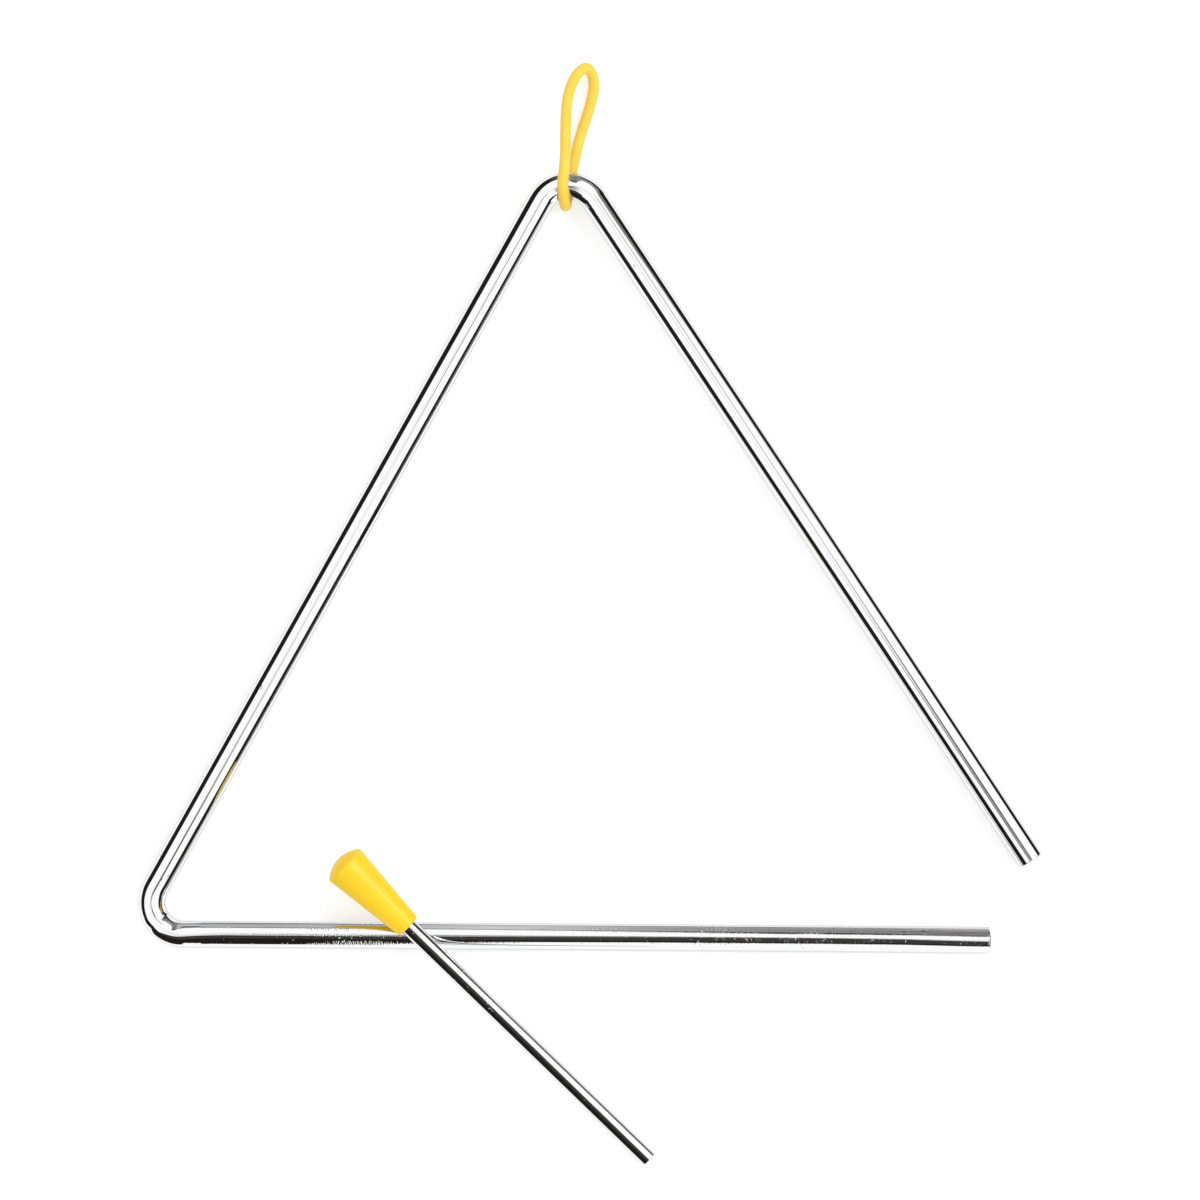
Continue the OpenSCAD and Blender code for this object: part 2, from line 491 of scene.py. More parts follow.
@dataclass(frozen=True)
class Chrome:
    """Chrome plating on a drawn bar: a mirror with flats, ripple, fine peel, pits and a few scuffs.

    Each stretch of the bar is a place along it in metres, how far its polished top leans outwards
    there in degrees, how much more its inner side leans, and the share of the strong peel. The
    inner side begins at the offset inner_side from the middle.
    """

    name: str
    stretches: tuple[Stop, ...]
    colour: Colour = (0.70, 0.70, 0.705, 1.0)
    scuffed: Colour = (0.25, 0.25, 0.26, 1.0)
    smooth_roughness: float = 0.012
    rubbed_roughness: float = 0.16
    inner_side: float = 0.001
    ripple: Pattern = Pattern((0.1, 1, 1), 170.0, 2.0)
    ripple_height: float = 6e-6
    peel: Pattern = Pattern((1, 0.4, 0.4), 2300.0, 1.0)
    peel_patches: Pattern = Pattern((1, 4, 4), 60.0, 2.0, (0.38, 0.6), 0.3)
    peel_height: float = 3.2e-5
    pits: Pattern = Pattern((1, 1, 1), 1100.0, 1.0, (0.70, 0.78))
    pit_depth: float = 3e-5
    hairs: Pattern = Pattern((0.2, 1, 1), 2600.0, 1.0, (0.69, 0.73))
    hair_clouds: Pattern = Pattern((1, 1, 1), 70.0, 2.0, (0.58, 0.66))

    def material(self) -> bpy.types.Material:
        """Build the material.

        Returns:
            The chrome, with its marks along the bar.
        """
        made = bpy.data.materials.new(self.name)
        made.use_nodes = True
        nodes = Nodes(made.node_tree)
        scuffs = nodes.math("MULTIPLY", self.hairs.value(nodes), self.hair_clouds.value(nodes))
        shader = nodes.add(
            "BsdfPrincipled",
            Base_Color=nodes.blend(scuffs, self.colour, self.scuffed),
            Metallic=1.0,
            Roughness=nodes.ramp(scuffs, 0, 1, self.smooth_roughness, self.rubbed_roughness),
            Normal=self.relief(nodes),
        )
        nodes.finish(shader)
        return made

    def relief(self, nodes: Nodes) -> Socket:
        """The surface's normal: flats and ripple from drawing, peel from polishing, and pits.

        Args:
            nodes: The material's nodes.

        Returns:
            The bent normal.
        """
        along, out, _ = nodes.add("SeparateXYZ", Vector=nodes.bar()).outputs
        stops = [
            (at / MARKED_LENGTH, (LEVEL + tan(lean), LEVEL + tan(inner), share))
            for at, lean, inner, share in self.stretches
        ]
        slope, inner_slope, share = nodes.table(nodes.math("DIVIDE", along, MARKED_LENGTH), stops)
        inside = nodes.math("MINIMUM", nodes.math("ADD", out, self.inner_side), 0.0)
        flat = nodes.math(
            "ADD",
            nodes.math("MULTIPLY", out, nodes.math("SUBTRACT", LEVEL, slope)),
            nodes.math("MULTIPLY", inside, nodes.math("SUBTRACT", LEVEL, inner_slope)),
        )
        strong = nodes.math("MULTIPLY", share, self.peel_patches.value(nodes))
        layers = (
            (flat, 1.0),
            (self.ripple.value(nodes), self.ripple_height),
            (self.peel.value(nodes), nodes.math("MULTIPLY", strong, self.peel_height)),
            (
                nodes.math("SUBTRACT", 1.0, self.pits.value(nodes)),
                nodes.math("MULTIPLY", share, self.pit_depth),
            ),
        )
        normal = None
        for height, depth in layers:
            bump = nodes.add("Bump", Height=height, Distance=depth)
            if normal:
                nodes.feed(bump.inputs["Normal"], normal)
            normal = bump.outputs[0]
        return normal


@dataclass(frozen=True)
class SoftPlastic:
    """Soft moulded yellow: cloudy colour, a satin skin with fine grain, and a little light in it.

    The noise span is the part of both noises that is used. The shine span is how much smoother
    and rougher the grain makes the skin.
    """

    name: str
    colour: Colour
    shade: Colour
    roughness: float
    subsurface: float
    specular: float = 0.5
    cloud_scale: float = 140.0
    cloud_detail: float = 3.0
    cloud_roughness: float = 0.6
    grain_scale: float = 2600.0
    grain_height: float = 1.2e-5
    grain_strength: float = 0.6
    noise_span: Pair = (0.3, 0.7)
    shine_span: Pair = (0.04, 0.05)
    scatter: Triple = (1.0, 0.7, 0.15)
    scatter_depth: float = 0.0015

    def material(self) -> bpy.types.Material:
        """Build the material.

        Returns:
            The plastic.
        """
        made = bpy.data.materials.new(self.name)
        made.use_nodes = True
        nodes = Nodes(made.node_tree)
        place = nodes.place()
        cloud = nodes.noise(place, self.cloud_scale, self.cloud_detail, self.cloud_roughness)
        grain = nodes.noise(place, self.grain_scale)
        smoothest = self.roughness - self.shine_span[0]
        roughest = self.roughness + self.shine_span[1]
        bump = nodes.add(
            "Bump", Height=grain, Strength=self.grain_strength, Distance=self.grain_height
        )
        shader = nodes.add(
            "BsdfPrincipled",
            Base_Color=nodes.blend(nodes.ramp(cloud, *self.noise_span), self.colour, self.shade),
            Roughness=nodes.ramp(grain, *self.noise_span, smoothest, roughest),
            Normal=bump.outputs[0],
            Specular_IOR_Level=self.specular,
            Subsurface_Weight=self.subsurface,
            Subsurface_Radius=self.scatter,
            Subsurface_Scale=self.scatter_depth,
        )
        nodes.finish(shader)
        return made


@dataclass(frozen=True)
class TrianglePlan:
    """The bent rod's centreline in its own plane, with the left corner at the origin.

    The sides run between the corners that the bends round off, and to the free ends.
    """

    rod_d: float = 0.008
    bottom_side: float = 0.255
    left_side: float = 0.264
    right_side: float = 0.250
    left_angle: float = 61.1
    apex_angle: float = 62.8
    bend_inner_r: float = 0.0054

    @property
    def rod_r(self) -> float:
        """Radius of the rod."""
        return self.rod_d / 2

    @property
    def bend_r(self) -> float:
        """Radius of the bends' centreline."""
        return self.bend_inner_r + self.rod_r

    @property
    def left_run(self) -> float:
        """From the left corner to where its bend touches an arm."""
        return self.bend_r / tan(self.left_angle / 2)

    @property
    def apex_run(self) -> float:
        """From the apex corner to where its bend touches an arm."""
        return self.bend_r / tan(self.apex_angle / 2)

    @property
    def left_way(self) -> Vector:
        """Direction up the left arm."""
        return Vector((cos(self.left_angle), sin(self.left_angle), 0))

    @property
    def right_way(self) -> Vector:
        """Direction down the right arm."""
        heading = self.left_angle + self.apex_angle - 180
        return Vector((cos(heading), sin(heading), 0))

    @property
    def left_bend_centre(self) -> Vector:
        """Centre of the left corner's bend."""
        return Vector((self.left_run, self.bend_r, 0))

    @property
    def apex_bend_centre(self) -> Vector:
        """Centre of the apex bend.

        Returns:
            Its place in the plane.
        """
        inward = self.left_angle + 180 + self.apex_angle / 2
        reach = self.bend_r / sin(self.apex_angle / 2)
        return self.left_way * self.left_side + reach * Vector((cos(inward), sin(inward), 0))

    @property
    def apex_y(self) -> float:
        """Highest point of the centreline."""
        return self.apex_bend_centre.y + self.bend_r

    @property
    def arms(self) -> tuple[tuple[Vector, Vector, float], ...]:
        """The straight arms in their order along the rod.

        Returns:
            The start, the direction and the length of the bottom, the left and the right arm.
        """
        left, right = self.left_way, self.right_way
        free_end, inward = Vector((self.bottom_side, 0, 0)), Vector((-1, 0, 0))
        return (
            (free_end, inward, self.bottom_side - self.left_run),
            (left * self.left_run, left, self.left_side - self.left_run - self.apex_run),
            (left * self.left_side + right * self.apex_run, right, self.right_side - self.apex_run),
        )

    @property
    def bends(self) -> tuple[tuple[Vector, float] | None, ...]:
        """What follows each arm.

        Returns:
            The centre and the angle of the left and of the apex bend, and None for the free end.
        """
        return (
            (self.left_bend_centre, 180 - self.left_angle),
            (self.apex_bend_centre, 180 - self.apex_angle),
            None,
        )

    def placement(self, apex: Vector) -> Matrix:
        """Where the plane lies, from the middle of the rod at the apex.

        Args:
            apex: That point in the frame.

        Returns:
            The matrix from the plane to the frame.
        """
        tilt = math.asin((apex.z - self.rod_r) / self.apex_y)
        turned = Matrix.Rotation(tilt, 4, "X")
        start = apex - turned @ Vector((self.apex_bend_centre.x, self.apex_y, 0))
        return Matrix.Translation(start) @ turned


@dataclass
class TriangleRod:
    """The bent steel rod.

    The hold is how near to an arm's ends a ring of points holds the shading. A cut end's points
    lie within the rod's radius times end_margin.
    """

    plan: TrianglePlan
    apex: Vector
    end_chamfer: float = 0.0004
    end_margin: float = 1.01
    sharp_angle: float = 30.0
    sides: int = 96
    bend_steps: int = 40
    arm_steps: int = 12
    hold: float = 0.0006

    def unbend(self, place: Vector) -> Vector:
        """Find a point's place on the straight bar.

        Args:
            place: The point in the triangle's own plane.

        Returns:
            How far it lies from the bottom arm's free end along the bar, and its offset from
            the centreline in the plane and above it.
        """
        plan = self.plan
        flat = Vector((place.x, place.y, 0))
        found, passed = [], 0.0
        for (start, way, length), bend in zip(plan.arms, plan.bends):
            side = way.cross(Vector((0, 0, 1)))
            along = (flat - start).dot(way)
            out = (flat - start).dot(side)
            miss = max(-along, along - length, 0)
            found.append((math.hypot(miss, out), passed + min(max(along, 0), length), -out))
            passed += length
            if bend:
                centre, span = bend
                spoke = (start + way * length - centre).normalized()
                arm = flat - centre
                out = arm.length - plan.bend_r
                turned = math.degrees(math.atan2(arm.cross(spoke).z, arm.dot(spoke)))
                run = plan.bend_r * math.radians(min(max(turned, 0), span))
                miss = plan.bend_r * math.radians(max(-turned, turned - span, 0))
                found.append((math.hypot(miss, out), passed + run, out))
                passed += plan.bend_r * math.radians(span)
        _, along, out = min(found)
        return Vector((along, out, place.z))

    def cap(self, piece: Piece, end: Vector) -> None:
        """Close the rod at one cut end and break its edge.

        Args:
            piece: The rod in edit mode.
            end: The middle of the cut end.
        """
        near = self.plan.rod_r * self.end_margin
        Bench.select_where(piece, lambda co: (co - end).length < near)
        bpy.ops.mesh.edge_face_add()
        Bench.chamfer(self.end_chamfer)

    def build(self) -> Piece:
        """Model the rod: a ring pulled along each arm and spun round each bend.

        Returns:
            The finished mesh in its place.
        """
        plan = self.plan
        free_end = plan.arms[0][0]
        Bench.clear()
        bpy.ops.mesh.primitive_circle_add(
            vertices=self.sides, radius=plan.rod_r, location=free_end, rotation=(0, math.pi / 2, 0)
        )
        piece = bpy.context.object
        piece.name = "triangle_rod_chromed"
        bpy.ops.object.transform_apply(location=True, rotation=True, scale=True)
        bpy.ops.object.mode_set(mode="EDIT")
        bpy.ops.mesh.select_all(action="SELECT")
        for (_, way, length), bend in zip(plan.arms, plan.bends):
            Bench.pull_bar(way, length, self.arm_steps, self.hold)
            if bend:
                centre, span = bend
                bpy.ops.mesh.spin(
                    steps=self.bend_steps, angle=math.radians(span), center=centre, axis=(0, 0, 1)
                )
        self.cap(piece, free_end)
        self.cap(piece, plan.left_way * plan.left_side + plan.right_way * plan.right_side)
        Bench.close()
        Bench.mark(piece, self.unbend)
        Bench.settle(piece, plan.placement(self.apex), self.sharp_angle)
        return piece

    def dress(self, piece: Piece, finish: Chrome) -> None:
        """Give the rod its chrome and tie it to its body.

        Args:
            piece: The rod.
            finish: Its chrome.
        """
        piece.data.materials.append(finish.material())
        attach(piece, Body.TRIANGLE.value)
        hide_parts("triangle_rod")


@dataclass
class HangingLoop:
    """The endless rubber ring on the apex.

    Each strand share is a point's place sideways, outwards and up, as a share of the lean, of the
    reach and of the height that the wrap round the rod takes. The wrap's angles are counted from
    straight outwards over the top of the rod, from its start under the rod to its end over it. A
    Bezier handle is one part in handle_part of the way between the neighbours of its point.
    """

    apex: Vector
    rod_r: float
    cord_d: float = 0.0032
    reach: float = 0.035
    lean: float = 0.0075
    gap: float = 0.0004
    curve_steps: int = 8
    round_steps: int = 10
    handle_part: float = 6.0
    merge_distance: float = 1e-6
    sharp_angle: float = 60.0
    wrap_start: float = 270.0
    wrap_end: float = 90.0
    wrap_angles: tuple[float, ...] = (240, 210, 180, 150, 120)
    strand_shares: tuple[Triple, ...] = (
        (-0.205, 0.00, 1.00),
        (-0.155, 0.13, 0.97),
        (-0.12, 0.26, 0.91),
        (-0.115, 0.38, 0.87),
        (-0.11, 0.51, 0.85),
        (-0.09, 0.63, 0.84),
        (-0.025, 0.74, 0.82),
        (0.125, 0.85, 0.75),
        (0.38, 0.95, 0.57),
        (0.69, 1.00, 0.36),
        (0.915, 0.95, 0.15),
        (0.98, 0.85, 0.03),
        (0.89, 0.74, 0.00),
        (0.735, 0.62, 0.00),
        (0.55, 0.50, 0.00),
        (0.39, 0.38, 0.00),
        (0.25, 0.25, 0.00),
        (0.125, 0.13, 0.00),
        (0.00, 0.00, 0.00),
    )

    def knots(self) -> list[Vector]:
        """Points of the ring's centreline, about the middle of the rod at the apex.

        Returns:
            The points, from over the rod, round the far end and back under and round the rod.
        """
        cord_r = self.cord_d / 2
        wrap_r = self.rod_r + self.gap + cord_r
        low = cord_r - self.apex.z
        points = [
            Vector((side * self.lean, out * self.reach, low + rise * 2 * wrap_r))
            for side, out, rise in self.strand_shares
        ]
        over, under = self.strand_shares[0][0], self.strand_shares[-1][0]
        for angle in self.wrap_angles:
            share = (self.wrap_start - angle) / (self.wrap_start - self.wrap_end)
            side = under + share * (over - under)
            points.append(Vector((side * self.lean, wrap_r * cos(angle), wrap_r * sin(angle))))
        return points

    def build(self) -> Piece:
        """Sweep the cord round its centreline.

        Returns:
            The finished mesh in its place.
        """
        Bench.clear()
        bpy.ops.curve.primitive_bezier_circle_add(radius=self.reach)
        ring = bpy.context.object
        ring.name = "hanging_ring"
        curve = ring.data
        curve.dimensions = "3D"
        curve.splines.clear()
        spline = curve.splines.new("BEZIER")
        spline.use_cyclic_u = True
        points = self.knots()
        low = min(point.z for point in points)
        spline.bezier_points.add(len(points) - 1)
        for i, knot in enumerate(spline.bezier_points):
            here, before = points[i], points[i - 1]
            after = points[(i + 1) % len(points)]
            knot.handle_left_type = knot.handle_right_type = "FREE"
            knot.co = here
            # No handle dips below the lowest points, so that the cord stays on the table.
            for side, sign in (("handle_right", 1), ("handle_left", -1)):
                handle = here + sign * (after - before) / self.handle_part
                handle.z = max(handle.z, low)
                setattr(knot, side, handle)
        spline.resolution_u = self.curve_steps
        curve.bevel_depth = self.cord_d / 2
        curve.bevel_resolution = self.round_steps
        curve.twist_mode = "MINIMUM"
        bpy.ops.object.convert(target="MESH")
        piece = bpy.context.object
        bpy.ops.object.mode_set(mode="EDIT")
        bpy.ops.mesh.select_all(action="SELECT")
        bpy.ops.mesh.remove_doubles(threshold=self.merge_distance)
        Bench.close()
        Bench.settle(piece, Matrix.Translation(self.apex), self.sharp_angle)
        return piece

    def dress(self, piece: Piece, finish: SoftPlastic) -> None:
        """Give the ring its rubber and tie it to its body.

        Args:
            piece: The ring.
            finish: Its rubber.
        """
        piece.data.materials.append(finish.material())
        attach(piece, Body.LOOP.value)
        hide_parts("hanging_loop")


@dataclass
class Beater:
    """The beater: a steel rod pressed into a soft domed handle, leaning on the bottom arm.

    It crosses the arm cross_at from the left corner, at the angle given, and the handle's mouth
    is mouth_past beyond the crossing. The grip is the part of the rod that is in the handle.
    """

    corner: Vector
    arm_d: float
    rod_d: float = 0.005
    bare: float = 0.1003
    grip: float = 0.020
    chamfer: float = 0.0004
    handle_len: float = 0.0287
    handle_d: float = 0.0131
    mouth_d: float = 0.0076
    dome_h: float = 0.0026
    dome_edge_r: float = 0.0009
    mouth_edge_r: float = 0.0004
    bore_squeeze: float = 0.00005
    bore_end_gap: float = 0.0005
    cross_at: float = 0.0864
    mouth_past: float = 0.0053
    angle: float = 44.1
    seat_gap: float = 0.0003
    steps: int = 96
    rod_steps: int = 12
    hold: float = 0.0006
    mouth_steps: int = 8
    edge_steps: int = 12
    dome_steps: int = 28
    rod_sharp_angle: float = 30.0
    handle_sharp_angle: float = 40.0

    def placement(self) -> Matrix:
        """Where the beater lies.

        Returns:
            The matrix from the beater, which starts at its tip and goes along +X, to the frame.
        """
        to_cross = self.bare - self.mouth_past
        tilt = math.atan((self.arm_d + self.seat_gap) / to_cross)
        rise = self.rod_d / 2 * math.cos(tilt) - self.chamfer * math.sin(tilt)
        tip = self.corner + Vector(
            (self.cross_at + to_cross * cos(self.angle), -to_cross * sin(self.angle), rise)
        )
        heading = Matrix.Rotation(math.radians(180 - self.angle), 4, "Z")
        return Matrix.Translation(tip) @ heading @ Matrix.Rotation(-tilt, 4, "Y")

    def build_rod(self) -> Piece:
        """Turn the beater's rod.

        Returns:
            The finished mesh in its place.
        """
        length = self.bare + self.grip
        Bench.clear()
        bpy.ops.mesh.primitive_circle_add(
            vertices=self.steps,
            radius=self.rod_d / 2,
            fill_type="NGON",
            rotation=(0, math.pi / 2, 0),
        )
        piece = bpy.context.object
        piece.name = "beater_rod_chromed"
        bpy.ops.object.transform_apply(location=True, rotation=True, scale=True)
        bpy.ops.object.mode_set(mode="EDIT")
        bpy.ops.mesh.select_all(action="SELECT")
        Bench.pull_bar(Vector((1, 0, 0)), length, self.rod_steps, self.hold)
        for end in (0, length):
            Bench.select_where(piece, lambda co: abs(co.x - end) < self.chamfer / 2)
            Bench.chamfer(self.chamfer)
        Bench.close()
        Bench.mark(piece, Vector)
        Bench.settle(piece, self.placement(), self.rod_sharp_angle)
        return piece

    def handle_outline(self) -> Outline:
        """Half outline of the handle and its bore.

        Returns:
            Places along the axis and distances from it, from the bottom of the bore to the dome.
        """
        mouth_r, wide_r = self.mouth_d / 2, self.handle_d / 2
        cone_len = self.handle_len - self.dome_h
        dome_r = (wide_r**2 + self.dome_h**2) / (2 * self.dome_h)
        lean = math.degrees(math.atan((wide_r - mouth_r) / cone_len))
        rim_out = mouth_r - self.mouth_edge_r * (1 / cos(lean) - tan(lean))
        crown_base = cone_len + self.dome_h - dome_r
        edge_reach = dome_r - self.dome_edge_r
        line_out = wide_r - self.dome_edge_r / cos(lean) + (crown_base - cone_len) * tan(lean)
        edge_along = -line_out * sin(lean) + math.sqrt(edge_reach**2 - (line_out * cos(lean)) ** 2)
        edge_out = line_out + edge_along * sin(lean)
        edge_at = crown_base + edge_along * cos(lean)
        crown_angle = math.degrees(math.atan2(edge_at - crown_base, edge_out))
        bore_r = self.rod_d / 2 - self.bore_squeeze
        bore_end = self.grip + self.bore_end_gap
        points = [(bore_end, 0), (bore_end, bore_r), (0, bore_r)]
        points += self.arc(
            self.mouth_edge_r, rim_out, self.mouth_edge_r, -90, -lean, self.mouth_steps
        )
        points += self.arc(edge_at, edge_out, self.dome_edge_r, -lean, crown_angle, self.edge_steps)
        points += self.arc(crown_base, 0, dome_r, crown_angle, 90, self.dome_steps)[1:]
        return points

    @staticmethod
    def arc(at: float, out: float, radius: float, start: float, end: float, steps: int) -> Outline:
        """Points on an arc of the outline.

        Args:
            at: The centre's place along the axis.
            out: The centre's distance from the axis.
            radius: The arc's radius.
            start: The first point's angle, from straight out towards the dome.
            end: The last point's angle.
            steps: How many stretches it has.

        Returns:
            The points as places along the axis and distances from it.
        """
        angles = [start + (end - start) * i / steps for i in range(steps + 1)]
        return [(at + radius * sin(a), max(out + radius * cos(a), 0)) for a in angles]

    def build_handle(self) -> Piece:
        """Turn the handle with its blind bore.

        Returns:
            The finished mesh in its place.
        """
        piece = Bench.turn("beater_handle_moulded", self.handle_outline(), self.steps)
        place = self.placement() @ Matrix.Translation((self.bare, 0, 0))
        Bench.settle(piece, place, self.handle_sharp_angle)
        return piece

    def dress(self, rod: Piece, handle: Piece, chrome: Chrome, soft: SoftPlastic) -> None:
        """Give both pieces their finish and tie them to the beater's body.

        Args:
            rod: The beater's rod.
            handle: The beater's handle.
            chrome: The rod's finish.
            soft: The handle's finish.
        """
        rod.data.materials.append(chrome.material())
        handle.data.materials.append(soft.material())
        pieces = ((rod, "beater_rod", Slot.CHROME), (handle, "beater_handle", Slot.GRIP))
        for piece, node, slot in pieces:
            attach(piece, Body.BEATER.value)
            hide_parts(node)


@dataclass(frozen=True)
class Ring:
    """A dark or grey band round the horizon of the tent, which only the chrome sees.

    Each stop is an azimuth, the band's upper and lower edge as angles from the zenith, and how
    much of the tent's light it takes there. The edges run straight from stop to stop. Its folds
    are lighter by up to the share folds, and fold_draw draws them out along the horizon.
    """

    colour: Colour
    soft: float
    stops: tuple[Stop, ...]
    folds: float = 0.0
    fold_draw: float = 0.6
    fold_scale: float = 55.0
    fold_step: Pair = (0.38, 0.6)

    def cover(self, nodes: Nodes, sky: SkyPlace) -> Socket:
        """Build the band's cover of a direction.

        Args:
            nodes: The world's nodes.
            sky: The direction's sockets.

        Returns:
            A socket: 0 off the band, and its darkness on it.
        """
        stops = [
            (at / ROUND, (upper / DOWN, lower / DOWN, dark))
            for at, upper, lower, dark in self.stops
        ]
        upper, lower, dark = nodes.table(sky.azimuth, stops)
        step = self.soft / DOWN
        inside = nodes.ramp(nodes.math("SUBTRACT", sky.zenith, upper), -step, step)
        outside = nodes.ramp(nodes.math("SUBTRACT", lower, sky.zenith), -step, step)
        if self.folds:
            drawn = nodes.math("MULTIPLY", sky.azimuth, self.fold_draw)
            place = nodes.add("CombineXYZ", X=drawn, Y=sky.zenith)
            streaks = nodes.noise(place.outputs[0], self.fold_scale)
            shade = nodes.ramp(streaks, *self.fold_step, 1.0 - self.folds)
            dark = nodes.math("MULTIPLY", dark, shade)
        return nodes.math("MULTIPLY", nodes.math("MULTIPLY", inside, outside), dark)


@dataclass(frozen=True)
class Card:
    """A dark card over the table, which only the chrome sees.

    Its corners are X and Y of the directions to them, and go round it anticlockwise.
    """

    colour: Colour
    soft: float
    dark: float
    corners: tuple[Pair, ...]

    def cover(self, nodes: Nodes, sky: SkyPlace) -> Socket:
        """Build the card's cover of a direction.

        Args:
            nodes: The world's nodes.
            sky: The direction's sockets.

        Returns:
            A socket: 0 off the card, and its darkness on it.
        """
        cover = nodes.math("MULTIPLY", nodes.math("GREATER_THAN", sky.z, 0.0), self.dark)
        for i, here in enumerate(self.corners):
            before = self.corners[i - 1]
            edge = Vector(here) - Vector(before)
            inward = Vector((-edge.y, edge.x)).normalized()
            depth = nodes.math(
                "ADD",
                nodes.math("MULTIPLY", sky.x, inward.x),
                nodes.math("MULTIPLY", sky.y, inward.y),
            )
            start = inward.dot(Vector(here))
            step = nodes.ramp(depth, start - self.soft, start + self.soft)
            cover = nodes.math("MULTIPLY", cover, step)
        return cover


# The darkest flags of the tent.
BLACK = (0.019, 0.0175, 0.0165, 1)
# What the chrome mirrors beside the white tent. Each one lies over those before it.
TENT_FLAGS = (
    Card(
        (0.06, 0.056, 0.053, 1),
        soft=0.03,
        dark=1.0,
        corners=(
            (0.13, -0.175),
            (-0.10, -0.29),
            (-0.50, -0.60),
            (-0.30, -0.80),
            (-0.05, -0.86),
            (0.13, -0.82),
        ),
    ),
    Ring(
        (0.12, 0.10, 0.083, 1),
        soft=2.0,
        stops=(
            (0, 84, 86, 0.0),
            (24, 84, 90, 0.0),
            (27, 76, 98, 0.3),
            (30, 82, 98, 0.5),
            (33, 74, 100, 0.8),
            (35.5, 66, 98, 0.9),
            (37, 54, 95, 0.95),
            (38.3, 43, 92, 1.0),
            (42, 50, 92, 1.0),
            (50, 62, 96, 0.95),
            (70, 62, 104, 0.9),
            (76, 44, 110, 0.95),
            (80, 26, 94, 1.0),
            (85, 26, 94, 1.0),
            (88, 34, 114, 0.95),
            (90.5, 42, 114, 0.7),
            (92.5, 48, 112, 0.0),
            (104, 60, 112, 0.0),
            (106, 60, 112, 0.75),
            (115, 62, 105, 0.4),
            (120, 84, 86, 0.0),
            (360, 84, 86, 0.0),
        ),
        folds=0.35,
    ),
    Ring(
        (0.40, 0.42, 0.44, 1),
        soft=1.6,
        stops=(
            (0, 50, 118, 0.0),
            (91, 49, 112, 0.0),
            (93, 51, 118, 0.88),
            (98, 51, 118, 0.88),
            (106, 60, 112, 0.0),
            (360, 84, 86, 0.0),
        ),
        folds=0.15,
    ),
    Ring(
        grey(0.06),
        soft=1.0,
        stops=(
            (0, 95, 99, 0.0),
            (78, 94, 118, 0.0),
            (80, 92, 118, 0.6),
            (86, 92, 118, 0.6),
            (88, 102, 114, 0.4),
            (91, 100, 112, 0.35),
            (93, 102, 117, 0.75),
            (98, 102, 117, 0.75),
            (103, 100, 104, 0.0),
            (317, 98, 106, 0.0),
            (320, 99, 109, 0.75),
            (325, 100, 109, 0.5),
            (329, 101, 108, 0.0),
            (360, 95, 99, 0.0),
        ),
    ),
    Ring(
        BLACK,
        soft=1.3,
        stops=(
            (0, 67, 103, 0.98),
            (20, 76, 106, 1.0),
            (26, 77, 116, 1.0),
            (28, 85, 121, 1.0),
            (30, 87, 127, 1.0),
            (33, 88, 121, 1.0),
            (34.5, 76, 116, 1.0),
            (35.5, 71, 112, 1.0),
            (38, 71, 108, 1.0),
            (40.5, 71, 112, 1.0),
            (45, 84, 108, 1.0),
            (62, 84, 104, 0.95),
            (74, 80, 98, 0.7),
            (76, 60, 70, 0.0),
            (78, 27, 38, 0.9),
            (85, 26, 38, 0.95),
            (88, 34, 46, 0.8),
            (91, 43, 52, 0.6),
            (93, 49, 56, 0.7),
            (98, 50, 57, 0.7),
            (104, 60, 108, 0.8),
            (116, 60, 105, 1.0),
            (118, 60, 105, 0.0),
            (360, 60, 105, 0.0),
        ),
    ),
    Ring(
        BLACK,
        soft=1.3,
        stops=(
            (0, 60, 105, 0.0),
            (114, 60, 105, 0.0),
            (116, 60, 105, 1.0),
            (146, 51, 103, 1.0),
            (151, 54, 104, 1.0),
            (159, 58, 103, 1.0),
            (170, 59, 98, 1.0),
            (203, 57, 92, 1.0),
            (209, 57, 95, 1.0),
            (212, 51, 91, 1.0),
            (216, 48, 82, 1.0),
            (220, 42, 78, 1.0),
            (223, 45, 92, 1.0),
            (227, 45, 106, 1.0),
            (235, 45, 104, 1.0),
            (262, 44, 100, 1.0),
            (266.2, 44, 97, 1.0),
            (267.2, 44, 84, 1.0),
            (268.6, 44, 62, 1.0),
            (272, 44, 57, 1.0),
            (277, 44, 52, 0.9),
            (284, 46, 54, 0.9),
            (310, 54, 76, 1.0),
            (322, 58.5, 82, 1.0),
            (326.5, 61.5, 101, 1.0),
            (331, 63.5, 104, 1.0),
            (334, 64.5, 104, 1.0),
            (337, 65.5, 107, 1.0),
            (360, 67, 103, 0.98),
        ),
    ),
    Card(
        grey(0.03),
        soft=0.04,
        dark=0.92,
        corners=((0.02, -0.11), (-0.07, -0.10), (-0.11, -0.23), (0.09, -0.22)),
    ),
    Card(
        grey(0.05),
        soft=0.03,
        dark=0.75,
        corners=((0.085, -0.08), (0.035, -0.085), (0.00, -0.26), (0.10, -0.22)),
    ),
    Card(
        grey(0.03),
        soft=0.02,
        dark=1.0,
        corners=((0.160, -0.117), (0.288, 0.038), (0.225, 0.092), (0.097, -0.063)),
    ),
    Card(
        grey(0.05),
        soft=0.02,
        dark=0.5,
        corners=((0.30, 0.06), (0.35, 0.30), (0.25, 0.31), (0.22, 0.09)),
    ),
    Card(
        grey(0.10),
        soft=0.03,
        dark=0.28,
        corners=((-0.12, -0.09), (-0.04, -0.06), (-0.03, 0.06), (-0.10, 0.06)),
    ),
)


